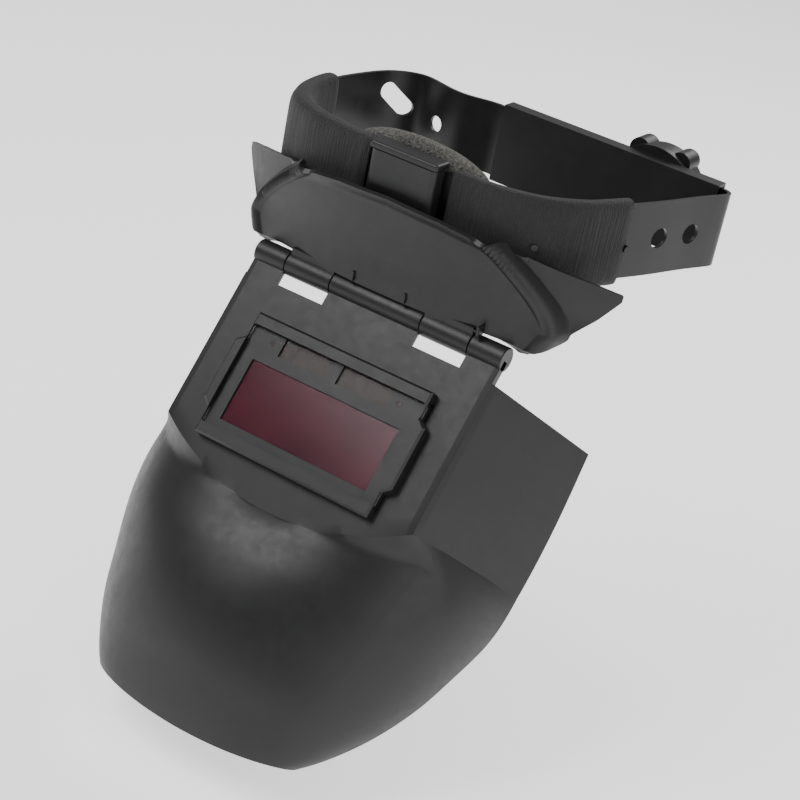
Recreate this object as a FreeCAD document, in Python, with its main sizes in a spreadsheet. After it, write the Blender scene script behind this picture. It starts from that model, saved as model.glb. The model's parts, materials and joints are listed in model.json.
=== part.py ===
"""Flip-up welding helmet: an auto-darkening half mask hinged to a brow guard on a ratchet headband.

Frame: millimetres, +X to the wearer's left, +Y to the back, +Z up.
The origin is the centre of the wearer's head ring at the mid height of the band.
"""
import FreeCAD, Part
import math
import os

os.makedirs("parts", exist_ok=True)
doc = FreeCAD.newDocument("helmet")
V = FreeCAD.Vector
X_AXIS, Y_AXIS = V(1, 0, 0), V(0, 1, 0)

# ---------------------------------------------------------------- driving dimensions
DIMENSIONS = {
    "HingeY": -67.0,            # hinge axis ahead of the head centre
    "HingeZ": -57.0,            # hinge axis below the band's mid height
    "RestTilt": 36.5,           # the mask is raised this far at rest, degrees
    "BarrelRadius": 6.5,
    "BarrelHalfLength": 77.0,
    "CentreKnuckleHalf": 28.0,
    "EndKnuckleInner": 57.4,
    "KnuckleGap": 0.4,
    "PinRadius": 1.6,
    "PinClearance": 0.06,
    "ShellWall": 2.5,
    "BlockHalfWidth": 76.0,     # flat block that carries the window
    "WindowCentre": 66.0,       # below the hinge axis
    "FrameWidth": 119.0,
    "FrameHeight": 70.0,
    "FrameProud": 9.0,
    "FrameOpeningWidth": 108.0,
    "FrameOpeningHeight": 57.0,
    "FilterWidth": 109.5,
    "FilterHeight": 59.5,
    "FilterDepth": 8.0,
    "ViewWidth": 92.0,
    "ViewHeight": 35.0,
    "ViewDrop": 6.0,            # the view window's centre below the filter's centre
    "LensThickness": 1.0,
    "BandHeight": 40.0,
    "BandThickness": 2.0,
    "SweatbandHeight": 46.0,
    "SweatbandThickness": 10.0,
    "BracketWidth": 39.0,
    "SleeveY": 64.0,            # centre of the nape sleeve's thickness
    "SleeveStart": -20.0,
    "SleeveEnd": 112.0,
    "SleeveThickness": 9.0,
    "SleeveHeight": 44.0,
    "SleeveWall": 1.6,
    "KnobX": 70.0,
    "KnobRadius": 26.0,
    "KnobLobeRadius": 6.0,
    "KnobThickness": 14.0,
    "PinionPitchRadius": 6.0,
    "PinionTeeth": 10,
    "ToothHeight": 0.9,
}
sheet = doc.addObject("Spreadsheet::Sheet", "Sizes")
for row, (alias, value) in enumerate(DIMENSIONS.items(), start=1):
    sheet.set("A%d" % row, alias)
    sheet.set("B%d" % row, str(value))
    sheet.setAlias("B%d" % row, alias)
doc.recompute()


def size(alias):
    return float(sheet.get(alias))


HINGE = V(0, size("HingeY"), size("HingeZ"))
MASK_PLACE = FreeCAD.Placement(HINGE, FreeCAD.Rotation(X_AXIS, -size("RestTilt")))
HINGE_PLACE = FreeCAD.Placement(HINGE, FreeCAD.Rotation())
NODES = []


# ---------------------------------------------------------------- shared builders
def named(formula):
    """Write 'Size * 2' as 'Sizes.Size * 2' for every alias of the sheet."""
    words = formula.replace("(", " ( ").replace(")", " ) ").split()
    return " ".join("Sizes." + w if w in DIMENSIONS else w for w in words)


def box(name, length, width, height, corner):
    """A Part::Box whose lengths and low corner are formulas over the sheet."""
    obj = doc.addObject("Part::Box", name)
    for prop, formula in (("Length", length), ("Width", width), ("Height", height)):
        obj.setExpression(prop, named(formula))
    for axis, formula in zip("xyz", corner):
        obj.setExpression("Placement.Base." + axis, named(formula))
    return obj


def cylinder(name, radius, height, base, axis):
    """A Part::Cylinder along X or Y, with radius, height and base as formulas."""
    obj = doc.addObject("Part::Cylinder", name)
    turn = {"X": FreeCAD.Rotation(Y_AXIS, 90), "Y": FreeCAD.Rotation(X_AXIS, -90)}[axis]
    obj.Placement = FreeCAD.Placement(V(), turn)
    obj.setExpression("Radius", named(radius))
    obj.setExpression("Height", named(height))
    for letter, formula in zip("xyz", base):
        obj.setExpression("Placement.Base." + letter, named(formula))
    return obj


def fuse(name, shapes):
    obj = doc.addObject("Part::MultiFuse", name)
    obj.Shapes = shapes
    return obj


def cut(name, base, tool):
    obj = doc.addObject("Part::Cut", name)
    obj.Base, obj.Tool = base, tool
    return obj


def feature(name, shape):
    obj = doc.addObject("Part::Feature", name)
    obj.Shape = shape
    return obj


def node(obj, label, place=None):
    """Name a finished sub-part, put it in the helmet's frame and keep it for export."""
    obj.Label = label
    if place is not None:
        obj.Placement = place.multiply(obj.Placement)
    NODES.append(obj)
    return obj


def spline(points):
    curve = Part.BSplineCurve()
    curve.interpolate([V(*p) for p in points])
    return curve.toShape()


def band_normals(path):
    """Unit normals in plan at each point of a path, to the left of its direction."""
    normals = []
    for i in range(len(path)):
        ahead, behind = path[min(i + 1, len(path) - 1)], path[max(i - 1, 0)]
        dx, dy = ahead[0] - behind[0], ahead[1] - behind[1]
        length = math.hypot(dx, dy)
        normals.append((-dy / length, dx / length))
    return normals


def thin_section(path, inner_offset, outer_offset, z):
    """Closed wire at height z between two offsets of one plan path."""
    normals = band_normals(path)
    sides = []
    for offset in (inner_offset, outer_offset):
        sides.append([(p[0] + n[0] * offset, p[1] + n[1] * offset, z)
                      for p, n in zip(path, normals)])
    near, far = sides
    return Part.Wire([spline(near),
                      Part.makeLine(V(*near[-1]), V(*far[-1])),
                      spline(far[::-1]),
                      Part.makeLine(V(*far[0]), V(*near[0]))])


def ribbon(path, inner_offset, outer_offset, low_z, height):
    """A strip that stands on edge along a plan path."""
    face = Part.Face(thin_section(path, inner_offset, outer_offset, low_z))
    return face.extrude(V(0, 0, height))


def prism_y(outline, low_y, depth):
    """A prism along Y from an (x, z) outline."""
    points = [V(x, low_y, z) for x, z in outline]
    return Part.Face(Part.makePolygon(points + [points[0]])).extrude(V(0, depth, 0))


def plate(width, height, centre_z, low_y, depth, corner=0.0):
    """A rectangular plate facing -Y, with rounded corners if asked."""
    solid = Part.makeBox(width, depth, height, V(-width / 2, low_y, centre_z - height / 2))
    if corner > 0:
        solid = solid.makeFillet(corner, [e for e in solid.Edges
                                          if abs(e.tangentAt(e.FirstParameter).y) > 0.99])
    return solid


# ---------------------------------------------------------------- face shield
# The mask is drawn closed, hinge axis at its origin, window facing -Y, and then raised.
WALL = size("ShellWall")
BLOCK = size("BlockHalfWidth")
# height, centre front, half width, back edge depth, roundness of the plan (0 flat block, 1 round)
SHIELD_SECTIONS = [
    (-1.0, 0.0, 107.0, 76.0, 0.0),
    (-45.0, 0.0, 109.0, 80.0, 0.0),
    (-104.0, 0.0, 109.0, 80.0, 0.0),
    (-113.0, -1.5, 108.0, 79.5, 0.4),
    (-125.0, -4.5, 106.5, 78.0, 0.95),
    (-148.0, -8.0, 101.0, 72.0, 1.0),
    (-172.0, -7.0, 93.5, 66.0, 1.0),
    (-195.0, -1.0, 83.5, 56.0, 1.0),
    (-214.0, 8.0, 71.5, 46.0, 1.0),
    (-227.0, 15.0, 60.0, 38.0, 1.0),
    (-235.0, 20.0, 49.0, 34.0, 1.0),
]
PLAN_STEPS = 9


def shield_plan(front, half_width, depth, roundness):
    """Plan path of the shell from the wearer's right edge round the front to the left edge."""
    half = []
    for i in range(PLAN_STEPS + 1):
        along = i / PLAN_STEPS
        if along < 0.55:
            block = (BLOCK * along / 0.55, front)
        else:
            part = (along - 0.55) / 0.45
            block = (BLOCK + (half_width - BLOCK) * part, front + (depth - front) * part)
        angle = along * math.pi / 2
        oval = (half_width * math.sin(angle), front + (depth - front) * (1 - math.cos(angle)))
        half.append(tuple(b + (o - b) * roundness for b, o in zip(block, oval)))
    return [(-x, y) for x, y in half[:0:-1]] + half


def face_shield():
    wires = [thin_section(shield_plan(front, half, depth, roundness), 0, WALL, z)
             for z, front, half, depth, roundness in SHIELD_SECTIONS]
    shell = Part.makeLoft(wires, True, True)
    barrel, half_length = size("BarrelRadius"), size("BarrelHalfLength")
    centre, end = size("CentreKnuckleHalf"), size("EndKnuckleInner")
    # the flanges start below the hinge, so they pass under the brow guard's wings
    flange_drop, reach = 14.0, 60.0
    for side in (1, -1):
        low_x = half_length if side > 0 else -half_length - reach
        shell = shell.cut(Part.makeBox(reach, 120, 40, V(low_x, -20, -flange_drop)))
        # a notch under each brow knuckle, where light shows through
        notch_low = centre if side > 0 else -end
        notch = Part.makeBox(end - centre, 40, 30, V(notch_low, -20, -13.5))
        shell = shell.cut(notch)
    knuckles = [(-half_length, half_length - end), (-centre, 2 * centre), (end, half_length - end)]
    for low_x, length in knuckles:
        shell = shell.fuse(Part.makeCylinder(barrel, length, V(low_x, 0, 0), X_AXIS))
    bore = size("PinRadius") + size("PinClearance")
    shell = shell.cut(Part.makeCylinder(bore, 2 * half_length + 2, V(-half_length - 1, 0, 0), X_AXIS))
    opening = plate(size("FilterWidth") + 0.6, size("FilterHeight") + 0.6,
                    -size("WindowCentre"), -20, 40, 2.0)
    shell = shell.cut(opening)
    return shell.removeSplitter()


node(feature("FaceShield", face_shield()), "face_shield", MASK_PLACE)

# ---------------------------------------------------------------- filter frame and cartridge
WIN = -size("WindowCentre")
PROUD = size("FrameProud")
LENS = size("LensThickness")


def frame_outline(grow):
    """Frame outline in (x, z): a rectangle whose short sides carry a stepped middle."""
    half_w, half_h = size("FrameWidth") / 2 + grow, size("FrameHeight") / 2 + grow
    step, shoulder, slope = 5.0, 17.0, 4.0
    right = [(half_w - step, -half_h), (half_w - step, -shoulder - slope), (half_w, -shoulder),
             (half_w, shoulder), (half_w - step, shoulder + slope), (half_w - step, half_h)]
    outline = right + [(-x, z) for x, z in right[::-1]]
    return [(x, WIN + z) for x, z in outline]


def filter_frame():
    body = prism_y(frame_outline(0), -PROUD, PROUD - 0.05)
    rim = plate(size("FrameOpeningWidth"), size("FrameOpeningHeight"), WIN, -PROUD - 1, 4, 2.0)
    pocket = plate(size("FilterWidth") + 0.6, size("FilterHeight") + 0.6, WIN, -PROUD + 2.0, 20, 2.0)
    bevel = [e for e in body.Edges
             if abs(e.BoundBox.YMax + PROUD) < 0.01 and abs(e.BoundBox.YMin + PROUD) < 0.01]
    body = body.makeChamfer(1.2, bevel)
    return body.cut(rim).cut(pocket)


node(feature("FilterFrame", filter_frame()), "filter_frame", MASK_PLACE)

cover_y = -PROUD + 2.0
node(feature("OuterLens", plate(size("FilterWidth"), size("FilterHeight"), WIN, cover_y, LENS, 2.0)),
     "cover_lens_outer", MASK_PLACE)

bezel_y = cover_y + LENS + 0.1
VIEW_Z = WIN - size("ViewDrop")
CELL_WIDTH, CELL_HEIGHT, CELL_X, CELL_Z = 31.5, 10.0, 18.25, WIN + 23.2
SENSOR_X, SENSOR_Z, SENSOR_R = 40.0, WIN + 23.0, 1.6


def filter_bezel():
    """Front housing of the cartridge: a tray open to the back."""
    tray = plate(size("FilterWidth"), size("FilterHeight"), WIN, bezel_y, size("FilterDepth"), 2.0)
    hollow = plate(size("FilterWidth") - 3, size("FilterHeight") - 3, WIN,
                   bezel_y + 1.2, size("FilterDepth"), 1.0)
    tray = tray.cut(hollow)
    tray = tray.cut(plate(size("ViewWidth"), size("ViewHeight"), VIEW_Z, bezel_y - 1, 4))
    for side in (-1, 1):
        pane = Part.makeBox(CELL_WIDTH, 4, CELL_HEIGHT,
                            V(side * CELL_X - CELL_WIDTH / 2, bezel_y - 1, CELL_Z - CELL_HEIGHT / 2))
        eye = Part.makeCylinder(SENSOR_R, 4, V(side * SENSOR_X, bezel_y - 1, SENSOR_Z), Y_AXIS)
        tray = tray.cut(pane).cut(eye)
    return tray


node(feature("FilterBezel", filter_bezel()), "filter_bezel", MASK_PLACE)

glass_y = bezel_y + 1.25
node(feature("FilterGlass", plate(96, 39, VIEW_Z, glass_y, 1.1)), "uv_ir_filter_glass", MASK_PLACE)
node(feature("Shutter", plate(96, 39, VIEW_Z, glass_y + 1.2, 1.8)), "lcd_shutter", MASK_PLACE)

panes = [Part.makeBox(CELL_WIDTH + 1, 0.5, CELL_HEIGHT - 0.1,
                      V(side * CELL_X - CELL_WIDTH / 2 - 0.5, glass_y, CELL_Z - CELL_HEIGHT / 2))
         for side in (-1, 1)]
node(feature("SolarCells", Part.makeCompound(panes)), "solar_cells", MASK_PLACE)
eyes = [Part.makeCylinder(SENSOR_R - 0.1, 2.0, V(side * SENSOR_X, bezel_y + 0.1, SENSOR_Z), Y_AXIS)
        for side in (-1, 1)]
node(feature("ArcSensors", Part.makeCompound(eyes)), "arc_sensors", MASK_PLACE)
node(feature("Board", plate(100, 10.6, WIN + 22.6, glass_y + 1.2, 1.2)), "circuit_board", MASK_PLACE)
cells = [Part.makeCylinder(5.0, 2.5, V(side * 30.0, glass_y + 2.5, WIN + 22.4), Y_AXIS)
         for side in (-1, 1)]
node(feature("Batteries", Part.makeCompound(cells)), "coin_cells", MASK_PLACE)

back_y = bezel_y + size("FilterDepth") + 0.05


def filter_back_cover():
    cover = plate(size("FilterWidth"), size("FilterHeight"), WIN, back_y, 1.5, 2.0)
    return cover.cut(plate(size("ViewWidth"), size("ViewHeight"), VIEW_Z, back_y - 1, 4))


node(feature("BackCover", filter_back_cover()), "filter_back_cover", MASK_PLACE)
inner_y = back_y + 1.55
node(feature("InnerLens", plate(size("FilterWidth"), 46, VIEW_Z + 1, inner_y, LENS)),
     "cover_lens_inner", MASK_PLACE)


def lens_retainer():
    """Spring frame behind the cartridge: it bears on the shell and presses the lens forward."""
    low = inner_y + LENS + 0.05
    ring = plate(122, 72, WIN, low, 1.6, 4.0)
    ring = ring.cut(plate(98, 44, WIN - 3, low - 1, 4, 3.0))
    for side in (-1, 1):
        for end in (-1, 1):
            x, z = side * 57.8, WIN + end * 32.8
            ring = ring.fuse(Part.makeCylinder(2.2, low - WALL - 0.4, V(x, WALL + 0.4, z), Y_AXIS))
            ring = ring.cut(Part.makeCylinder(1.1, 10, V(x, WALL - 1, z), Y_AXIS))
    return ring


node(feature("Retainer", lens_retainer()), "lens_retainer", MASK_PLACE)


def retainer_screws():
    low = inner_y + LENS + 0.05 + 1.6
    screws = []
    for side in (-1, 1):
        for end in (-1, 1):
            x, z = side * 57.8, WIN + end * 32.8
            shank = Part.makeCylinder(1.05, low - WALL - 0.2, V(x, WALL + 0.2, z), Y_AXIS)
            head = Part.makeCylinder(2.3, 1.4, V(x, low, z), Y_AXIS)
            screws.append(shank.fuse(head))
    return Part.makeCompound(screws)


node(feature("RetainerScrews", retainer_screws()), "retainer_screws", MASK_PLACE)

# ---------------------------------------------------------------- brow guard and hinge pin
# Drawn with the hinge axis as its origin.
# height, half width, depth of the side edge, lean of the front face
BROW_SECTIONS = [
    (3.0, 84.0, 9.0, -1.0),
    (14.0, 96.0, 14.0, -2.0),
    (26.0, 107.0, 22.0, -4.0),
    (38.0, 114.0, 27.0, -6.0),
    (50.0, 116.0, 30.0, -8.0),
    (62.0, 117.0, 32.0, -9.5),
]
BROW_WALL = 2.6
BROW_TOP = [(0, 61.5), (30, 60), (60, 55.5), (85, 49.5), (100, 46), (114.5, 42)]
BROW_SIDE = [(116, 38), (106, 26), (95, 12), (84, 2)]


def brow_plan(half_width, depth, lean):
    steps, half = 8, []
    for i in range(steps + 1):
        along = i / steps
        half.append((half_width * along, lean + (depth - lean) * along ** 2.6))
    return [(-x, y) for x, y in half[:0:-1]] + half


def brow_guard():
    wires = [thin_section(brow_plan(half, depth, lean), 0, BROW_WALL, z)
             for z, half, depth, lean in BROW_SECTIONS]
    shell = Part.makeLoft(wires, True, True)
    outline = BROW_TOP + BROW_SIDE
    outline = outline + [(-x, z) for x, z in outline[::-1][:-1]]
    shell = shell.common(prism_y(outline, -40, 120))
    barrel, gap = size("BarrelRadius"), size("KnuckleGap")
    centre, end = size("CentreKnuckleHalf") + gap, size("EndKnuckleInner") - gap
    relief = barrel + 1.5
    for low_x, high_x in ((-120, -end), (-centre, centre), (end, 120)):
        clear = Part.makeCylinder(relief, high_x - low_x, V(low_x, 0, 0), X_AXIS)
        shell = shell.cut(clear)
    for side in (-1, 1):
        low_x = centre if side > 0 else -end
        knuckle = Part.makeCylinder(barrel, end - centre, V(low_x, 0, 0), X_AXIS)
        web = Part.makeBox(end - centre, 3.2, 9, V(low_x, -1.4, 2))
        shell = shell.fuse(knuckle).fuse(web)
    shell = shell.cut(Part.makeCylinder(size("PinRadius") + 0.02, 160, V(-80, 0, 0), X_AXIS))
    return shell.removeSplitter()


node(feature("BrowGuard", brow_guard()), "brow_guard", HINGE_PLACE)
node(cylinder("HingePin", "PinRadius", "BarrelHalfLength * 2 - 1",
              ("0.5 - BarrelHalfLength", "HingeY", "HingeZ"), "X"), "hinge_pin")

# ---------------------------------------------------------------- front bracket
# The bracket stands between the brow guard and the band.
BRACKET_FRONT, BRACKET_BACK = -72.0, -61.1


def front_bracket():
    half = size("BracketWidth") / 2
    body = Part.makeBox(2 * half, BRACKET_BACK - BRACKET_FRONT, 46, V(-half, BRACKET_FRONT, -24))
    body = body.makeFillet(3.0, [e for e in body.Edges if abs(e.tangentAt(0).z) > 0.99])
    core = Part.makeBox(2 * half - 5, BRACKET_BACK - BRACKET_FRONT - 5, 44,
                        V(-half + 2.5, BRACKET_FRONT + 2.5, -22))
    body = body.cut(core)
    for x in (-11, 11):
        body = body.cut(Part.makeCylinder(2.1, 30, V(x, -85, -14), Y_AXIS))
    return body


# the bracket is trimmed back from the guard's inner face
bracket_shape = front_bracket()
guard = NODES[[n.Label for n in NODES].index("brow_guard")].Shape
for push in (0.4, -1.6, -3.2):
    moved = guard.copy()
    moved.translate(V(0, push, 0))
    bracket_shape = bracket_shape.cut(moved)
bracket_shape = max(bracket_shape.Solids, key=lambda s: s.Volume)
node(feature("FrontBracket", bracket_shape), "front_bracket")

cap = Part.makeBox(size("BracketWidth") + 1.6, 12.4, 4.0,
                   V(-size("BracketWidth") / 2 - 0.8, BRACKET_FRONT - 0.6, 22.05))
cap = cap.makeFillet(1.4, cap.Edges)
node(feature("BracketCap", cap), "bracket_cap")

# ---------------------------------------------------------------- headband
BAND_HALF_HEIGHT = size("BandHeight") / 2
BAND = size("BandThickness") / 2
# plan path of the strap from the wearer's right sleeve mouth round the front to the left one
STRAP_PATH = [(-20, 62.5), (-30, 62), (-44, 58), (-60, 60), (-76, 63), (-87, 55), (-95, 32), (-98, 4),
              (-95, -20), (-86, -39), (-70, -51), (-48, -57.5), (-24, -59.6), (0, -59.8),
              (24, -59.6), (48, -57.5), (68, -49), (84, -32), (95, -8), (104, 16), (111, 38),
              (117, 54), (118, 61), (114.5, 64), (112, 64)]


def strap_hole(x, y, normal, z, radius, length=0.0, slant=0.0):
    """A round hole through the strap at a plan point, or an obround if length is given."""
    start = V(x, y, z) - V(normal[0], normal[1], 0) * 8
    tool = Part.makeCylinder(radius, 16, start, V(normal[0], normal[1], 0))
    if length > 0:
        tangent = V(-normal[1], normal[0], 0)
        along = tangent * math.cos(slant) + V(0, 0, 1) * math.sin(slant)
        ends = [tool.copy(), tool.copy()]
        ends[0].translate(along * (length / 2))
        ends[1].translate(along * (-length / 2))
        across = V(normal[0], normal[1], 0).cross(along) * radius
        corners = [start + along * (length / 2) + across, start - along * (length / 2) + across,
                   start - along * (length / 2) - across, start + along * (length / 2) - across]
        web = Part.Face(Part.makePolygon(corners + [corners[0]]))
        tool = ends[0].fuse([ends[1], web.extrude(V(normal[0], normal[1], 0) * 16)])
    return tool


def headband_strap():
    strap = ribbon(STRAP_PATH, -BAND, BAND, -BAND_HALF_HEIGHT, size("BandHeight"))
    normals = band_normals(STRAP_PATH)
    for index, z, radius, length in ((3, -3, 4.5, 0), (5, 4, 5.0, 14), (7, 2, 5.0, 0),
                                     (19, 0, 5.5, 0), (20, 0, 5.5, 0)):
        x, y = STRAP_PATH[index]
        strap = strap.cut(strap_hole(x, y, normals[index], z, radius, length, math.radians(-40)))
    return strap


node(feature("Strap", headband_strap()), "headband_strap")


def sweatband(path):
    """Fabric-covered foam roll that wraps the strap: closed above and below it."""
    half = size("SweatbandThickness") / 2
    height = size("SweatbandHeight")
    roll = ribbon(path, -half, half, -height / 2, height)
    room = BAND + 0.35
    channel = ribbon(STRAP_PATH, -room, room, -BAND_HALF_HEIGHT - 0.35, size("BandHeight") + 0.7)
    return roll.cut(channel)


node(feature("SweatbandRight", sweatband(STRAP_PATH[7:13])), "sweatband_right")
node(feature("SweatbandLeft", sweatband(STRAP_PATH[14:19])), "sweatband_left")

FOAM_PATH = [(-40, -52.5), (-24, -53.5), (0, -53.8), (24, -53.5), (40, -52.5)]
foam = ribbon(FOAM_PATH, -2.6, 3.4, -19, 43)
for side in NODES[-3:]:
    foam = foam.cut(side.Shape)
node(feature("ForeheadFoam", max(foam.Solids, key=lambda s: s.Volume)), "forehead_foam")

# ---------------------------------------------------------------- nape sleeve, racks, pinion and knob
SLEEVE_Y = size("SleeveY")
SLEEVE_LENGTH = "SleeveEnd - SleeveStart"
outer = box("SleeveOuter", SLEEVE_LENGTH, "SleeveThickness", "SleeveHeight",
            ("SleeveStart", "SleeveY - SleeveThickness / 2", "0 - SleeveHeight / 2"))
inner = box("SleeveInner", SLEEVE_LENGTH + " + 2", "SleeveThickness - SleeveWall * 2",
            "SleeveHeight - SleeveWall * 2",
            ("SleeveStart - 1", "SleeveY - SleeveThickness / 2 + SleeveWall",
             "SleeveWall - SleeveHeight / 2"))
tube = cut("SleeveTube", outer, inner)
shaft_hole = cylinder("ShaftHole", "3.06", "10", ("KnobX", "SleeveY", "0"), "Y")
node(cut("NapeSleeve", tube, shaft_hole), "nape_sleeve")

PITCH_R = size("PinionPitchRadius")
TEETH = int(size("PinionTeeth"))
TOOTH_PITCH = 2 * math.pi * PITCH_R / TEETH
ADD = size("ToothHeight")
KNOB_X = size("KnobX")
RACK_Y, RACK_THICK = 62.5, 2.4
SHAFT_LENGTH = 15.0


def tooth(root_half, tip_half, root, tip):
    """Trapezoid in (across, up)."""
    return [(-root_half, root), (-tip_half, tip), (tip_half, tip), (root_half, root)]


def rack(low_x, high_x, top):
    """A toothed tongue above (top) or below the pinion, with its teeth towards it."""
    sign = 1 if top else -1
    root = PITCH_R + ADD + 0.5
    bar = prism_y([(low_x, sign * root), (high_x, sign * root),
                   (high_x, sign * (root + 7)), (low_x, sign * (root + 7))], RACK_Y, RACK_THICK)
    first = math.ceil((low_x - KNOB_X + 2) / TOOTH_PITCH)
    last = math.floor((high_x - KNOB_X - 2) / TOOTH_PITCH)
    shapes = []
    for i in range(first, last + 1):
        # a rack tooth stands midway between two pinion teeth
        centre = KNOB_X + (i + 0.5) * TOOTH_PITCH
        if not low_x + 1 < centre < high_x - 1:
            continue
        points = [(centre + x, sign * z)
                  for x, z in tooth(0.85, 0.35, root + 0.2, PITCH_R - ADD)]
        shapes.append(prism_y(points, RACK_Y, RACK_THICK))
    return bar.fuse(shapes).removeSplitter()


node(feature("RightRack", rack(-6.0, 98.0, True)), "right_strap_rack")
node(feature("LeftRack", rack(44.0, 99.0, False)), "left_strap_rack")


def pinion():
    wheel = Part.makeCylinder(PITCH_R - ADD - 0.5, RACK_THICK, V(KNOB_X, RACK_Y, 0), Y_AXIS)
    shapes = []
    for i in range(TEETH):
        points = tooth(0.85, 0.4, PITCH_R - ADD - 1.2, PITCH_R + ADD)
        one = prism_y([(KNOB_X + x, z) for x, z in points], RACK_Y, RACK_THICK)
        one.rotate(V(KNOB_X, 0, 0), Y_AXIS, 360.0 * i / TEETH)
        shapes.append(one)
    shaft = Part.makeCylinder(3.0, SHAFT_LENGTH, V(KNOB_X, RACK_Y + RACK_THICK - 0.1, 0), Y_AXIS)
    return wheel.fuse(shapes + [shaft]).removeSplitter()


# a tooth points straight up at rest, and TEETH is even, so one points straight down too
node(feature("Pinion", pinion()), "pinion")

HOUSING_Y = SLEEVE_Y + size("SleeveThickness") / 2 + 0.05
HOUSING_DEPTH = 4.0


def knob_housing():
    cup = Part.makeCylinder(27.0, HOUSING_DEPTH, V(KNOB_X, HOUSING_Y, 0), Y_AXIS)
    well = Part.makeCylinder(15.0, HOUSING_DEPTH, V(KNOB_X, HOUSING_Y + 1.4, 0), Y_AXIS)
    cup = cup.cut(well)
    # the well's wall carries a ring of detent notches
    for i in range(20):
        notch = Part.makeCylinder(1.2, HOUSING_DEPTH, V(KNOB_X, HOUSING_Y + 1.4, 15.0), Y_AXIS)
        notch.rotate(V(KNOB_X, 0, 0), Y_AXIS, 18.0 * i)
        cup = cup.cut(notch)
    return cup.cut(Part.makeCylinder(3.06, 12, V(KNOB_X, HOUSING_Y - 2, 0), Y_AXIS))


node(feature("KnobHousing", knob_housing()), "knob_housing")

PAWL_Y = HOUSING_Y + 1.7


def detent_pawl():
    """Two arms on a hub that turn with the knob, 1 mm clear of the housing's notched wall."""
    hub = Part.makeCylinder(6.0, 2.0, V(KNOB_X, PAWL_Y, 0), Y_AXIS)
    arm = Part.makeBox(25.0, 2.0, 2.4, V(KNOB_X - 12.5, PAWL_Y, -1.2))
    tips = [Part.makeCylinder(1.2, 2.0, V(KNOB_X + x, PAWL_Y, 0), Y_AXIS) for x in (-12.8, 12.8)]
    hub = hub.fuse([arm] + tips)
    return hub.cut(Part.makeCylinder(3.0, 8, V(KNOB_X, PAWL_Y - 2, 0), Y_AXIS)).removeSplitter()


node(feature("DetentPawl", detent_pawl()), "detent_pawl")

KNOB_Y = HOUSING_Y + HOUSING_DEPTH + 0.4


def ratchet_knob():
    radius, thick = size("KnobRadius"), size("KnobThickness")
    wheel = Part.makeCylinder(radius, thick, V(KNOB_X, KNOB_Y, 0), Y_AXIS)
    lobes = []
    for i in range(6):
        angle = math.radians(60 * i)
        centre = V(KNOB_X + (radius - 1.5) * math.cos(angle), KNOB_Y, (radius - 1.5) * math.sin(angle))
        lobes.append(Part.makeCylinder(size("KnobLobeRadius"), thick, centre, Y_AXIS))
    wheel = wheel.fuse(lobes).removeSplitter()
    rims = [e for e in wheel.Edges if e.BoundBox.YLength < 0.01 and e.BoundBox.YMin > KNOB_Y + 1]
    wheel = wheel.makeFillet(2.0, rims)
    socket = Part.makeCylinder(3.0, 8, V(KNOB_X, KNOB_Y - 1, 0), Y_AXIS)
    screw_way = Part.makeCylinder(3.4, 5, V(KNOB_X, KNOB_Y + thick - 4, 0), Y_AXIS)
    shank_way = Part.makeCylinder(1.5, thick + 2, V(KNOB_X, KNOB_Y - 1, 0), Y_AXIS)
    return wheel.cut(socket).cut(screw_way).cut(shank_way)


node(feature("Knob", ratchet_knob()), "ratchet_knob")
shaft_end = RACK_Y + RACK_THICK - 0.1 + SHAFT_LENGTH
screw_head_y = KNOB_Y + size("KnobThickness") - 4
screw = Part.makeCylinder(3.2, 2.0, V(KNOB_X, screw_head_y, 0), Y_AXIS)
screw = screw.fuse(Part.makeCylinder(1.4, screw_head_y - shaft_end - 0.1,
                                     V(KNOB_X, shaft_end + 0.1, 0), Y_AXIS))
node(feature("KnobScrew", screw), "knob_screw")

# ---------------------------------------------------------------- pegs that hold the sweatband
peg_shapes = []
for index in (8, 10, 16, 18):
    x, y = STRAP_PATH[index]
    nx, ny = band_normals(STRAP_PATH)[index]
    # the peg stands on the strap's outer face and runs out through the sweatband
    start = V(x - nx * (BAND + 0.05), y - ny * (BAND + 0.05), -2)
    peg_shapes.append(Part.makeCylinder(1.8, 5.0, start, V(-nx, -ny, 0)))
pegs = Part.makeCompound(peg_shapes)
for obj in [n for n in NODES if n.Label in ("sweatband_left", "sweatband_right")]:
    shape = obj.Shape
    for index in (8, 10, 16, 18):
        x, y = STRAP_PATH[index]
        nx, ny = band_normals(STRAP_PATH)[index]
        shape = shape.cut(Part.makeCylinder(2.0, 9, V(x, y, -2), V(-nx, -ny, 0)))
    obj.Shape = shape
node(feature("SweatbandPegs", pegs), "sweatband_pegs")

# ---------------------------------------------------------------- check and export
doc.recompute()
for obj in doc.Objects:
    if "Invalid" in obj.State or "Error" in obj.State:
        raise RuntimeError("%s did not build: %s" % (obj.Name, obj.State))
for obj in NODES:
    if obj.Shape.isNull() or not obj.Shape.isValid() or obj.Shape.Volume <= 0:
        raise RuntimeError("%s has no valid shape" % obj.Label)
for obj in NODES:
    obj.Shape.exportStep("parts/%s.step" % obj.Label)
    print("%-20s %9.1f mm3  %d solid(s)" % (obj.Label, obj.Shape.Volume, len(obj.Shape.Solids)))
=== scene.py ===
"""Flip-up welding helmet: the CAD frame carried over, with moulded shells, fabric and foam built as meshes."""
import bpy
import bmesh
import json
import math
from mathutils import Matrix, Vector


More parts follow.
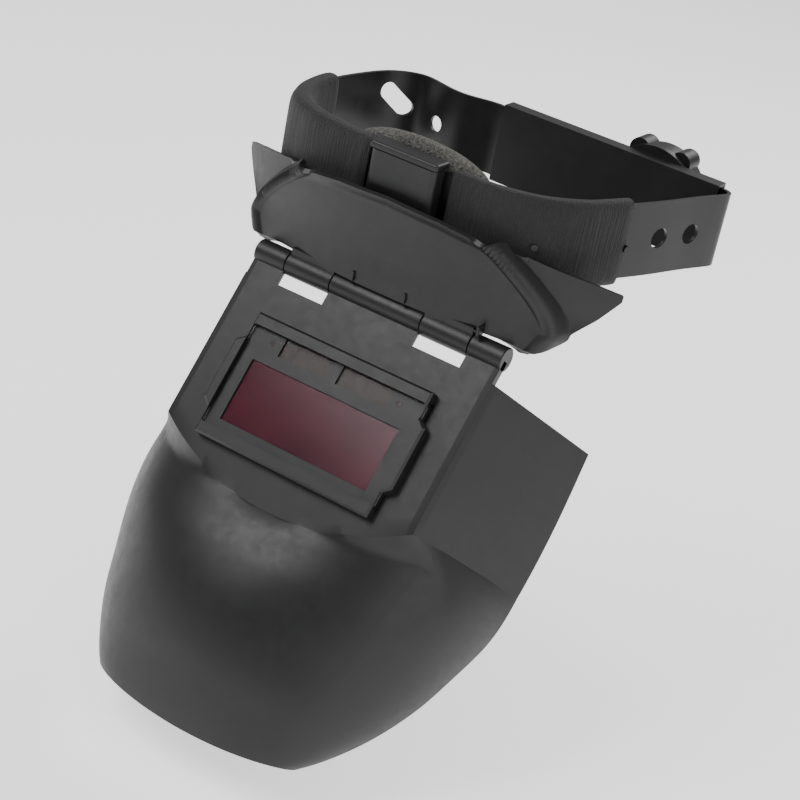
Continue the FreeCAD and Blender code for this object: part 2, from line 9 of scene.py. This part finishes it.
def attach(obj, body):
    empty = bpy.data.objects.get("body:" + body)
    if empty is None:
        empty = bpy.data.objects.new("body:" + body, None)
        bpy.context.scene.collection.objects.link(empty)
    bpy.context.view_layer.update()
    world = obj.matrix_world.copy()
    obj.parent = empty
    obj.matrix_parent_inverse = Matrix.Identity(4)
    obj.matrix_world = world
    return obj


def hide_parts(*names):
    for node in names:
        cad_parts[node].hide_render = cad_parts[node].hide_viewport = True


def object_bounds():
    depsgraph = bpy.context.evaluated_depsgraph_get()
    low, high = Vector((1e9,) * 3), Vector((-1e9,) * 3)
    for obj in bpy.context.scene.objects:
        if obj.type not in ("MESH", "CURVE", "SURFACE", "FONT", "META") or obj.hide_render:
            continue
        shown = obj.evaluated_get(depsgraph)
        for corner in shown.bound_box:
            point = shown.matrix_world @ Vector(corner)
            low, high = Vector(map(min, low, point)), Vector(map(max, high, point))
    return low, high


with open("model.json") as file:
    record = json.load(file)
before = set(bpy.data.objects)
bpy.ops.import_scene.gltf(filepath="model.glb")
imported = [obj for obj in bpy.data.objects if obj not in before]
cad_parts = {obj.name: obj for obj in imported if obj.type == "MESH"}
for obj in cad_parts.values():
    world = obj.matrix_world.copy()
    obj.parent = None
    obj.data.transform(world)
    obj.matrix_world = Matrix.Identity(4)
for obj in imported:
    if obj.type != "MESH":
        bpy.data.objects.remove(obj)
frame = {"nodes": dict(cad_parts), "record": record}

CAD_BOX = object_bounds()
MM = 0.001
JOINTS = {j["name"]: j for j in frame["record"]["behaviour"]["joints"]}
HINGE = Vector(JOINTS["mask_flip"]["pos_m"])
REST_TILT = math.radians(36.5)

# ---------------------------------------------------------------- node helpers


class Mat:
    """A Principled material with short calls for the nodes used here."""

    def __init__(self, name, base, roughness, **sockets):
        self.material = bpy.data.materials.new(name)
        self.material.use_nodes = True
        self.tree = self.material.node_tree
        self.shader = self.tree.nodes["Principled BSDF"]
        self.shader.inputs["Base Color"].default_value = (*base, 1)
        self.shader.inputs["Roughness"].default_value = roughness
        for socket, value in sockets.items():
            self.shader.inputs[socket.replace("_", " ")].default_value = value
        self.place = self.node("ShaderNodeTexCoord").outputs["Object"]

    def node(self, kind, **settings):
        made = self.tree.nodes.new(kind)
        for key, value in settings.items():
            if key in made.inputs:
                made.inputs[key].default_value = value
            else:
                setattr(made, key, value)
        return made

    def link(self, source, target):
        self.tree.links.new(source, target)

    def noise(self, scale, detail=4.0, roughness=0.5):
        made = self.node("ShaderNodeTexNoise", Scale=scale, Detail=detail, Roughness=roughness)
        self.link(self.place, made.inputs["Vector"])
        return made.outputs["Fac"]

    def ramp(self, value, low, high, out_low, out_high):
        made = self.node("ShaderNodeMapRange")
        for key, number in (("From Min", low), ("From Max", high),
                            ("To Min", out_low), ("To Max", out_high)):
            made.inputs[key].default_value = number
        self.link(value, made.inputs["Value"])
        return made.outputs["Result"]

    def mix(self, factor, first, second):
        made = self.node("ShaderNodeMix", data_type="RGBA")
        self.link(factor, made.inputs[0])
        made.inputs[6].default_value = (*first, 1)
        made.inputs[7].default_value = (*second, 1)
        return made.outputs[2]

    def colour(self, output):
        self.link(output, self.shader.inputs["Base Color"])

    def rough(self, output):
        self.link(output, self.shader.inputs["Roughness"])

    def bump(self, height, strength, distance):
        made = self.node("ShaderNodeBump", Strength=strength, Distance=distance)
        self.link(height, made.inputs["Height"])
        previous = self.shader.inputs["Normal"]
        if previous.is_linked:
            self.link(previous.links[0].from_socket, made.inputs["Normal"])
        self.link(made.outputs["Normal"], previous)


def moulded_plastic(name, dark, light, roughness, grain=2600.0, grain_depth=0.00006):
    """Injection-moulded plastic: fine spark-eroded grain, slow shade drift and faint scuffs."""
    mat = Mat(name, dark, roughness, IOR=1.46, Specular_IOR_Level=0.42)
    drift = mat.noise(22.0, 3.0)
    mat.colour(mat.mix(mat.ramp(drift, 0.35, 0.65, 0, 1), dark, light))
    scuff = mat.noise(160.0, 6.0, 0.7)
    mat.rough(mat.ramp(scuff, 0.3, 0.7, roughness - 0.05, roughness + 0.07))
    mat.bump(mat.noise(grain, 2.0), 0.35, grain_depth)
    mat.bump(mat.noise(14.0, 2.0), 0.15, 0.0006)
    return mat.material


def ribbed_fabric():
    """Terry knit over foam: fine vertical ribs, fuzz and a soft sheen."""
    mat = Mat("ribbed_fabric", (0.010, 0.010, 0.011), 0.92, Sheen_Weight=0.08, Sheen_Roughness=0.5)
    fuzz = mat.noise(1500.0, 5.0, 0.7)
    patch = mat.noise(60.0, 4.0, 0.6)
    mat.colour(mat.mix(mat.ramp(fuzz, 0.35, 0.7, 0, 1), (0.005, 0.005, 0.0055), (0.022, 0.022, 0.023)))
    mat.rough(mat.ramp(patch, 0.3, 0.7, 0.86, 0.97))
    upright = mat.node("ShaderNodeMapping")
    upright.inputs["Scale"].default_value = (1.0, 1.0, 0.04)
    mat.link(mat.place, upright.inputs["Vector"])
    ribs = mat.node("ShaderNodeTexNoise", Scale=950.0, Detail=1.0)
    mat.link(upright.outputs["Vector"], ribs.inputs["Vector"])
    mat.bump(ribs.outputs["Fac"], 0.9, 0.0009)
    mat.bump(fuzz, 0.7, 0.0005)
    mat.bump(patch, 0.4, 0.0008)
    return mat.material


def open_foam():
    mat = Mat("foam", (0.075, 0.073, 0.066), 0.95)
    cells = mat.node("ShaderNodeTexVoronoi", Scale=900.0)
    mat.link(mat.place, cells.inputs["Vector"])
    speckle = mat.noise(700.0, 4.0, 0.7)
    mat.colour(mat.mix(mat.ramp(speckle, 0.35, 0.65, 0, 1), (0.035, 0.035, 0.032), (0.15, 0.145, 0.13)))
    mat.bump(cells.outputs["Distance"], 0.8, 0.0006)
    return mat.material


def tinted_glass():
    mat = Mat("maroon_glass", (0.045, 0.004, 0.011), 0.16, Specular_IOR_Level=0.2)
    tint = mat.noise(30.0, 2.0)
    mat.colour(mat.mix(mat.ramp(tint, 0.3, 0.7, 0, 1), (0.040, 0.0035, 0.010), (0.062, 0.007, 0.016)))
    dust = mat.noise(900.0, 2.0, 0.8)
    mat.rough(mat.ramp(dust, 0.62, 0.75, 0.15, 0.32))
    return mat.material


def clear_lens():
    mat = Mat("clear_lens", (0.97, 0.98, 0.98), 0.02, IOR=1.12, Transmission_Weight=1.0, Alpha=0.06)
    haze = mat.noise(300.0, 3.0, 0.7)
    mat.rough(mat.ramp(haze, 0.4, 0.75, 0.01, 0.04))
    return mat.material


def solar_film():
    mat = Mat("solar_cell", (0.020, 0.012, 0.009), 0.25, Specular_IOR_Level=0.25)
    lines = mat.node("ShaderNodeTexWave", wave_type="BANDS", bands_direction="X", Scale=120.0)
    mat.link(mat.place, lines.inputs["Vector"])
    mat.colour(mat.mix(mat.ramp(lines.outputs["Fac"], 0.9, 1.0, 0, 1),
                       (0.018, 0.010, 0.008), (0.038, 0.027, 0.021)))
    mat.rough(mat.ramp(mat.noise(400.0), 0.3, 0.7, 0.22, 0.34))
    return mat.material


def plated_steel():
    mat = Mat("steel", (0.55, 0.55, 0.56), 0.32, Metallic=1.0)
    mat.rough(mat.ramp(mat.noise(900.0, 3.0), 0.3, 0.7, 0.25, 0.45))
    mat.bump(mat.noise(1200.0), 0.2, 0.00004)
    return mat.material


def board_lacquer():
    mat = Mat("circuit_board", (0.02, 0.12, 0.05), 0.35)
    tracks = mat.node("ShaderNodeTexBrick", Scale=300.0)
    mat.link(mat.place, tracks.inputs["Vector"])
    mat.colour(mat.mix(tracks.outputs["Fac"], (0.02, 0.12, 0.05), (0.05, 0.2, 0.09)))
    return mat.material


MATS = {
    "black_plastic": moulded_plastic("black_plastic", (0.0085, 0.0085, 0.0093), (0.0110, 0.0110, 0.0118), 0.40),
    "strap_plastic": moulded_plastic("strap_plastic", (0.008, 0.008, 0.0088), (0.0105, 0.0105, 0.0112), 0.34, 1800.0),
    "ribbed_fabric": ribbed_fabric(),
    "foam": open_foam(),
    "clear_lens": clear_lens(),
    "maroon_glass": tinted_glass(),
    "solar_cell": solar_film(),
    "circuit_board": board_lacquer(),
    "steel": plated_steel(),
}
SLOT_OF = {s["node"]: s["material_slot"] for s in frame["record"]["subparts"]}


def finish_cad_nodes():
    """Every carried-over CAD node takes the detailed material of its slot."""
    for name, obj in frame["nodes"].items():
        for material_slot in obj.material_slots:
            material_slot.material = MATS[SLOT_OF[name]]


finish_cad_nodes()

# ---------------------------------------------------------------- mesh helpers


def mask_point(x, depth, drop):
    """A point drawn on the closed mask (mm, hinge axis at the origin), where it is at rest."""
    turned = Matrix.Rotation(-REST_TILT, 4, "X") @ Vector((x, depth, drop))
    return HINGE + turned * MM


def brow_point(x, y, z):
    return HINGE + Vector((x, y, z)) * MM


def head_point(x, y, z):
    return Vector((x, y, z)) * MM


def mesh_object(name, points, faces, material, smooth=True):
    mesh = bpy.data.meshes.new(name)
    mesh.from_pydata([tuple(p) for p in points], [], faces)
    bm = bmesh.new()
    bm.from_mesh(mesh)
    bmesh.ops.remove_doubles(bm, verts=bm.verts, dist=1e-7)
    bmesh.ops.recalc_face_normals(bm, faces=bm.faces)
    bm.to_mesh(mesh)
    bm.free()
    for polygon in mesh.polygons:
        polygon.use_smooth = smooth
    obj = bpy.data.objects.new(name, mesh)
    bpy.context.scene.collection.objects.link(obj)
    obj.data.materials.append(material)
    return obj


def apply_all(obj):
    """Bake the modifiers into the mesh."""
    graph = bpy.context.evaluated_depsgraph_get()
    baked = bpy.data.meshes.new_from_object(obj.evaluated_get(graph))
    obj.modifiers.clear()
    obj.data = baked


def carve(obj, cutters, operation="DIFFERENCE"):
    for cutter in cutters:
        modifier = obj.modifiers.new("carve", "BOOLEAN")
        modifier.operation = operation
        modifier.solver = "EXACT"
        modifier.object = cutter
    apply_all(obj)
    for cutter in cutters:
        bpy.data.objects.remove(cutter)


def soften(obj, width, angle=40.0, segments=2):
    modifier = obj.modifiers.new("soften", "BEVEL")
    modifier.width = width
    modifier.segments = segments
    modifier.limit_method = "ANGLE"
    modifier.angle_limit = math.radians(angle)
    modifier.harden_normals = False
    apply_all(obj)


def shade(obj, angle=35.0):
    """Smooth shading with sharp edges kept, and flat faces kept flat."""
    for polygon in obj.data.polygons:
        polygon.use_smooth = True
    obj.data.set_sharp_from_angle(angle=math.radians(angle))
    weigh = obj.modifiers.new("weigh", "WEIGHTED_NORMAL")
    weigh.keep_sharp = True
    weigh.weight = 90
    apply_all(obj)


def shell_from_grid(name, rows, thickness, place, material):
    """Closed shell: rows of (x, y, z) on the outer face, and the same moved inward along the normals."""
    count, width = len(rows), len(rows[0])
    outer = [[Vector(p) for p in row] for row in rows]
    inner = []
    for r in range(count):
        line = []
        for c in range(width):
            down = outer[min(r + 1, count - 1)][c] - outer[max(r - 1, 0)][c]
            across = outer[r][min(c + 1, width - 1)] - outer[r][max(c - 1, 0)]
            normal = across.cross(down).normalized()
            line.append(outer[r][c] - normal * thickness)
        inner.append(line)
    points = [place(*p) for row in outer for p in row] + [place(*p) for row in inner for p in row]
    shift = count * width

    def at(r, c, side):
        return r * width + c + side * shift

    faces = []
    for r in range(count - 1):
        for c in range(width - 1):
            faces.append((at(r, c, 0), at(r, c + 1, 0), at(r + 1, c + 1, 0), at(r + 1, c, 0)))
            faces.append((at(r, c, 1), at(r + 1, c, 1), at(r + 1, c + 1, 1), at(r, c + 1, 1)))
        for c in (0, width - 1):
            faces.append((at(r, c, 0), at(r + 1, c, 0), at(r + 1, c, 1), at(r, c, 1)))
    for c in range(width - 1):
        for r in (0, count - 1):
            faces.append((at(r, c, 0), at(r, c, 1), at(r, c + 1, 1), at(r, c + 1, 0)))
    return mesh_object(name, points, faces, material)


def block(low, high, place):
    """A plain box used only as a cutter."""
    corners = [(x, y, z) for x in (low[0], high[0]) for y in (low[1], high[1]) for z in (low[2], high[2])]
    faces = [(0, 1, 3, 2), (4, 6, 7, 5), (0, 4, 5, 1), (2, 3, 7, 6), (0, 2, 6, 4), (1, 5, 7, 3)]
    return mesh_object("cutter", [place(*c) for c in corners], faces, MATS["black_plastic"], False)


def barrel(name, low_x, high_x, radius, place, bore=1.7, edge=0.5):
    """A hinge knuckle: a tube along X with rounded ends and a bore."""
    profile = [(low_x, bore), (low_x, radius - edge), (low_x + edge * 0.3, radius - edge * 0.3),
               (low_x + edge, radius), (high_x - edge, radius),
               (high_x - edge * 0.3, radius - edge * 0.3), (high_x, radius - edge), (high_x, bore)]
    sides, points, faces = 48, [], []
    for i in range(sides):
        angle = 2 * math.pi * i / sides
        points += [place(x, r * math.cos(angle), r * math.sin(angle)) for x, r in profile]
    step = len(profile)
    for i in range(sides):
        for j in range(step):
            a, b = i * step + j, i * step + (j + 1) % step
            c, d = ((i + 1) % sides) * step + (j + 1) % step, ((i + 1) % sides) * step + j
            faces.append((a, b, c, d))
    return mesh_object(name, points, faces, MATS["black_plastic"])


def join(objects, name):
    base = objects[0]
    bm = bmesh.new()
    for obj in objects:
        bm.from_mesh(obj.data)
    mesh = bpy.data.meshes.new(name)
    bm.to_mesh(mesh)
    bm.free()
    mesh.materials.append(base.data.materials[0])
    made = bpy.data.objects.new(name, mesh)
    bpy.context.scene.collection.objects.link(made)
    for obj in objects:
        bpy.data.objects.remove(obj)
    return made


def between(table, key):
    """Smooth value of each column of a table at key; the table's first column falls."""
    rows = sorted(table, key=lambda r: -r[0])
    if key >= rows[0][0]:
        return rows[0][1:]
    for i in range(len(rows) - 1):
        if key >= rows[i + 1][0]:
            here, nxt = rows[i], rows[i + 1]
            before, after = rows[max(i - 1, 0)], rows[min(i + 2, len(rows) - 1)]
            span = nxt[0] - here[0]
            part = (key - here[0]) / span
            values = []
            for c in range(1, len(here)):
                lean_in = (nxt[c] - before[c]) / (nxt[0] - before[0]) * span
                lean_out = (after[c] - here[c]) / (after[0] - here[0]) * span
                p2, p3 = part ** 2, part ** 3
                values.append((2 * p3 - 3 * p2 + 1) * here[c] + (p3 - 2 * p2 + part) * lean_in
                              + (3 * p2 - 2 * p3) * nxt[c] + (p3 - p2) * lean_out)
            return values
    return rows[-1][1:]


def smooth(part):
    part = max(0.0, min(1.0, part))
    return part * part * (3 - 2 * part)


# ---------------------------------------------------------------- face shield
BLOCK, ARC_MIDDLE, ARC_END, BLOCK_SHARE = 76.0, -121.0, -97.0, 0.55
CHIN = [   # height, centre front, half width, depth of the back edge
    (0.0, -1.0, 107.0, 76.0), (-60.0, -1.0, 109.0, 80.0), (-104.0, -1.0, 108.5, 80.0),
    (-125.0, -2.8, 106.5, 78.0), (-148.0, -7.0, 101.0, 72.0), (-172.0, -7.0, 93.5, 66.0),
    (-195.0, -1.0, 83.5, 56.0), (-214.0, 8.0, 71.5, 46.0), (-227.0, 15.0, 60.0, 38.0),
    (-235.0, 20.0, 49.0, 34.0)]


def shield_point(across, height, start):
    """Outer face at a share across (-1 to 1) and a height; the chin bulges out below start."""
    front, half_width, depth = between(CHIN, height)
    side, share = (1 if across >= 0 else -1), abs(across)
    if share < BLOCK_SHARE:
        flat = (BLOCK * share / BLOCK_SHARE, 0.0)
    else:
        part = (share - BLOCK_SHARE) / (1 - BLOCK_SHARE)
        flat = (BLOCK + (half_width - BLOCK) * part, depth * part)
    angle = share * math.pi / 2
    squareness = 1 + 0.3 * smooth((height + 180) / 60)
    round_ = (half_width * math.sin(angle),
              front + (depth - front) * (1 - math.cos(angle)) ** squareness)
    reach = 9.0 + 30.0 * smooth((share - BLOCK_SHARE + 0.1) / 0.4)
    mixed = 1 - (1 - min(1.0, max(0.0, (start - height) / reach))) ** 2   # a crisp edge at the arc
    x, y = (f + (r - f) * mixed for f, r in zip(flat, round_))
    return side * x, y, height


def face_shield():
    top, bottom = -1.0, -235.0
    columns, upper, lower = 61, 22, 46
    shares = [2 * i / (columns - 1) - 1 for i in range(columns)]
    extra = [s * (BLOCK_SHARE + e) for s in (-1, 1) for e in (-0.012, 0.0, 0.012)]
    shares = sorted(set(shares + extra))
    rows = []
    for r in range(upper + lower + 1):
        row = []
        for share in shares:
            x_block = BLOCK * min(abs(share), BLOCK_SHARE) / BLOCK_SHARE
            start = ARC_MIDDLE + (ARC_END - ARC_MIDDLE) * (x_block / BLOCK) ** 2
            if r <= upper:
                height = top + (start - top) * r / upper
            else:
                part = (r - upper) / lower
                lift = 10.0 * share ** 2     # the chin's lower corners are rounded off
                height = start + (bottom + lift - start) * (0.45 * part + 0.55 * part ** 2)
            row.append(shield_point(share, height, start))
        rows.append(row)
    shell = shell_from_grid("face_shield_shell", rows, 2.5, mask_point, MATS["black_plastic"])
    window = block((-55.1, -30, -96.1), (55.1, 40, -35.9), mask_point)
    cuts = [window]
    for side in (-1, 1):
        ends = sorted((side * 77.0, side * 140.0))
        cuts.append(block((ends[0], -30, -14), (ends[1], 120, 20), mask_point))
        ends = sorted((side * 28.0, side * 57.4))
        cuts.append(block((ends[0], -30, -13.5), (ends[1], 40, 20), mask_point))
    carve(shell, cuts)
    soften(shell, 0.0006, 50)
    knuckles = [barrel("knuckle", low, high, 6.5, mask_point, bore)
                for low, high, bore in ((-77, -57.4, 0.05), (-28, 28, 1.7), (57.4, 77, 0.05))]
    shell = join([shell] + knuckles, "face_shield_shell")
    shade(shell, 16)
    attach(shell, "mask")
    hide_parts("face_shield")


face_shield()

# ---------------------------------------------------------------- brow guard
BROW = [   # height, half width, depth of the side edge, lean of the front
    (62.0, 117.0, 32.0, -9.5), (50.0, 116.0, 30.0, -8.0), (38.0, 114.0, 27.0, -6.0),
    (26.0, 107.0, 22.0, -4.0), (14.0, 96.0, 14.0, -2.0), (3.0, 84.0, 9.0, -1.0)]
BROW_TOP = [(0, 61.0), (30, 59.5), (60, 55.0), (85, 49.0), (100, 45.5), (114, 41.5)]
BROW_LOW = [(0, 3.0), (80, 3.0), (84, 4.0), (95, 14), (106, 27), (114, 38.5)]


def along(points, x):
    """Height of a polyline of (x, z) at x, eased between its points."""
    for (x0, z0), (x1, z1) in zip(points, points[1:]):
        if x <= x1:
            return z0 + (z1 - z0) * (x - x0) / (x1 - x0)
    return points[-1][1]


def crease_x(height):
    """Half width of the front panel, where its face folds back into the wings."""
    if height < 16:
        return 92 - 0.5 * (16 - height)
    return 92 - 40 * ((height - 16) / 42.0) ** 1.5


def brow_point_on(x, height):
    half_width, depth, lean = between(BROW, height)
    y = lean + (depth - lean) * min(1.0, abs(x) / half_width) ** 2.6
    past = abs(x) - crease_x(height)
    y += 6.5 * smooth(past / 5.0)                      # the wings step back behind the crease
    y -= 2.4 * math.exp(-((past + 1.0) / 2.8) ** 2)    # and the crease itself is a rounded bead
    from_top = along(BROW_TOP, abs(x)) - height
    if abs(x) < 70:
        y -= 1.8 * math.exp(-(from_top / 3.2) ** 2)    # thick rounded lip along the top
    return x, y, height


def brow_guard():
    half, columns, levels = 114.0, 229, 48
    rows = []
    for r in range(levels + 1):
        row = []
        for c in range(columns):
            x = half * (2 * c / (columns - 1) - 1)
            top, low = along(BROW_TOP, abs(x)), along(BROW_LOW, abs(x))
            row.append(brow_point_on(x, top + (low - top) * r / levels))
        rows.append(row)
    shell = shell_from_grid("brow_guard_shell", rows, 2.6, brow_point, MATS["black_plastic"])
    cuts = []
    for low, high in ((-130, -57), (-28.4, 28.4), (57, 130)):
        cuts.append(barrel("relief", low, high, 8.0, brow_point, bore=0.05, edge=0.01))
    carve(shell, cuts)
    pieces = [shell]
    for side in (-1, 1):
        low, high = sorted((side * 28.4, side * 57.0))
        pieces.append(barrel("brow_knuckle", low, high, 6.5, brow_point))
        web = block((low + 0.2, -2.4, 3.0), (high - 0.2, 2.4, 10.0), brow_point)
        soften(web, 0.0008)
        pieces.append(web)
    for x in (-16.0, 16.0, 60.5):
        rib = block((x - 0.7, -5.5, 7.6), (x + 0.7, 0.5, 13.0), brow_point)
        soften(rib, 0.0004)
        pieces.append(rib)
    guard = join(pieces, "brow_guard_shell")
    shade(guard, 40)
    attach(guard, "headband")
    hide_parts("brow_guard")


brow_guard()

# ---------------------------------------------------------------- sweatband and foam
STRAP_PATH = [(-20, 62.5), (-30, 62), (-44, 58), (-60, 60), (-76, 63), (-87, 55), (-95, 32), (-98, 4),
              (-95, -20), (-86, -39), (-70, -51), (-48, -57.5), (-24, -59.6), (0, -59.8),
              (24, -59.6), (48, -57.5), (68, -49), (84, -32), (95, -8), (104, 16), (111, 38),
              (117, 54), (118, 61), (114.5, 64), (112, 64)]


def smooth_path(points, step_count):
    """Catmull-Rom through plan points."""
    made = []
    for i in range(len(points) - 1):
        p0, p1 = points[max(i - 1, 0)], points[i]
        p2, p3 = points[i + 1], points[min(i + 2, len(points) - 1)]
        for k in range(step_count):
            q = k / step_count
            made.append(tuple(0.5 * (2 * b + (c - a) * q + (2 * a - 5 * b + 4 * c - d) * q * q
                                     + (3 * b - a - 3 * c + d) * q ** 3)
                              for a, b, c, d in zip(p0, p1, p2, p3)))
    return made + [points[-1]]


def roll(name, path, thickness, height, material, puff, seed_phase, raised=0.0):
    """A soft roll on edge along a plan path: superellipse section, rounded ends, gentle lumps."""
    line = smooth_path(path, 14)
    sides, points, faces = 56, [], []
    for i, (x, y) in enumerate(line):
        ahead, behind = line[min(i + 1, len(line) - 1)], line[max(i - 1, 0)]
        tangent = Vector((ahead[0] - behind[0], ahead[1] - behind[1], 0)).normalized()
        normal = Vector((-tangent.y, tangent.x, 0))
        share = i / (len(line) - 1)
        end = min(share, 1 - share) * len(line) / 3.0
        pinch = 0.80 + 0.20 * smooth(end)
        for k in range(sides):
            angle = 2 * math.pi * k / sides
            co, si = math.cos(angle), math.sin(angle)
            out = math.copysign(abs(co) ** 0.62, co) * thickness / 2
            up = math.copysign(abs(si) ** 0.30, si) * height / 2
            lump = 1 + puff * (math.sin(share * 19 + seed_phase) * 0.5
                               + math.sin(share * 41 + angle * 2 + seed_phase) * 0.35)
            out *= pinch * lump
            up *= 0.985 + 0.015 * pinch
            points.append(head_point(x + normal.x * out, y + normal.y * out, up + raised * math.sin(share * math.pi)))
    for i in range(len(line) - 1):
        for k in range(sides):
            a, b = i * sides + k, i * sides + (k + 1) % sides
            faces.append((a, b, b + sides, a + sides))
    for ring in (0, len(line) - 1):
        faces.append(tuple(ring * sides + k for k in range(sides)))
    obj = mesh_object(name, points, faces, material)
    shade(obj, 60)
    return obj


def sweatbands():
    for side, path, phase in (("right", STRAP_PATH[7:13], 0.4), ("left", STRAP_PATH[14:19], 1.9)):
        band = roll("sweatband_%s_cover" % side, path, 12.5 if side == "right" else 10.0, 46.0, MATS["ribbed_fabric"], 0.05, phase)
        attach(band, "headband")
        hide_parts("sweatband_" + side)


sweatbands()


def forehead_pad():
    path = [(-38, -52.3), (-24, -53.0), (0, -53.3), (24, -53.0), (38, -52.3)]
    pad = roll("forehead_pad", path, 7.0, 42.0, MATS["foam"], 0.06, 0.9, raised=9.0)
    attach(pad, "headband")
    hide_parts("forehead_foam")


forehead_pad()

# ---------------------------------------------------------------- stage, light and camera


def stage():
    low = CAD_BOX[0][2] - 0.02
    bpy.ops.mesh.primitive_plane_add(size=8, location=(0, 0, low))
    floor = bpy.context.object
    floor.name = "floor"
    paint = Mat("floor", (0.93, 0.93, 0.93), 0.7, Emission_Color=(1, 1, 1, 1), Emission_Strength=0.85)
    paint.rough(paint.ramp(paint.noise(3.0), 0.3, 0.7, 0.65, 0.75))
    floor.data.materials.append(paint.material)
    world = bpy.data.worlds.new("studio")
    bpy.context.scene.world = world
    world.use_nodes = True
    world.node_tree.nodes["Background"].inputs["Color"].default_value = (1, 1, 1, 1)
    world.node_tree.nodes["Background"].inputs["Strength"].default_value = 0.42


def lamp(name, place, aim, width, power):
    light = bpy.data.lights.new(name, "AREA")
    light.size = width
    light.energy = power
    obj = bpy.data.objects.new(name, light)
    obj.location = place
    obj.rotation_euler = (Vector(aim) - Vector(place)).to_track_quat("-Z", "Y").to_euler()
    bpy.context.scene.collection.objects.link(obj)


def camera():
    """Three-quarter view from the wearer's left and above, with the camera rolled."""
    right = Vector((0.8148, 0.5500, 0.1836))
    down = Vector((0.3833, -0.2788, -0.8806))
    look = right.cross(down).normalized()
    down = look.cross(right).normalized()
    right.normalize()
    matrix = Matrix.Identity(4)
    for i, axis in enumerate((right, -down, -look)):
        for j in range(3):
            matrix[j][i] = axis[j]
    matrix.translation = Vector((0.4604, -0.8628, 0.3395))
    data = bpy.data.cameras.new("camera")
    data.lens = 88.4
    data.sensor_width = 36.0
    obj = bpy.data.objects.new("camera", data)
    obj.matrix_world = matrix
    bpy.context.scene.collection.objects.link(obj)
    bpy.context.scene.camera = obj


stage()
lamp("key", (-0.7, -0.9, 1.3), (0, -0.1, -0.1), 1.0, 22)
lamp("fill", (1.3, -0.5, 0.4), (0, -0.1, -0.1), 1.2, 8)
lamp("rim", (0.2, 1.2, 1.0), (0, 0, 0), 0.9, 12)
camera()
